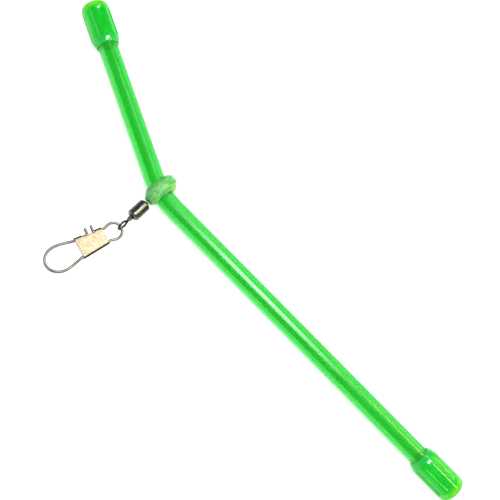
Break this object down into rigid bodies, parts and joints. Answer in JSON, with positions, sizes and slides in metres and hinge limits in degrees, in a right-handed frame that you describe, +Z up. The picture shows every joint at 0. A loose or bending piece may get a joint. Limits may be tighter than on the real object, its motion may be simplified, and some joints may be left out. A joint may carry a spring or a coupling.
{
  "type": "anti-tangle feeder boom",
  "caption": "Bent translucent line boom with a fluted sleeve on each end and a collar in the bend that carries a rolling swivel and an interlock snap.",
  "frame": {"origin": "bottom centre of the bounding box, on the surface the boom lies on", "axes": "+X towards the lower end cap along the long arm, +Y towards the short arm, +Z up from the surface"},
  "size_m": [0.1154, 0.0454, 0.0056],
  "materials": {
    "tube_green": "translucent, glossy",
    "cap_green": "translucent, glossy",
    "collar_green": "translucent, frosted",
    "black_nickel": "black nickel plate, polished",
    "spring_steel": "drawn wire, bright",
    "pale_brass": "pale plated sheet, satin"
  },
  "bodies": {
    "boom": {"boom_tube": "tube_green", "lower_end_cap": "cap_green", "upper_end_cap": "cap_green", "swivel_collar": "collar_green", "collar_pin": "spring_steel"},
    "barrel": {"swivel_barrel": "black_nickel"},
    "eye": {"swivel_eye": "black_nickel"},
    "snap": {"snap_wire": "spring_steel", "snap_plate": "pale_brass"},
    "gate": {"snap_gate": "spring_steel"}
  },
  "joints": [
    {"name": "barrel_spin", "type": "hinge", "parent": "boom", "child": "barrel", "pos_m": [-0.02038, -0.00316, 0.00219], "axis": [0.0139, -0.9948, -0.1011], "continuous": true},
    {"name": "eye_spin", "type": "hinge", "parent": "barrel", "child": "eye", "pos_m": [-0.02037, -0.00406, 0.00209], "axis": [0.0139, -0.9948, -0.1011], "continuous": true},
    {"name": "snap_swing", "type": "hinge", "parent": "eye", "child": "snap", "pos_m": [-0.02035, -0.00856, 0.00164], "axis": [0.0886, -0.0994, 0.9911], "range_deg": [-70, 95]},
    {"name": "gate_open", "type": "hinge", "parent": "snap", "child": "gate", "pos_m": [-0.02046, -0.01526, 0.00098], "axis": [-0.1735, -0.9813, -0.083], "range_deg": [0, 35], "stiffness_Nm_per_rad": 0.0005}
  ]
}
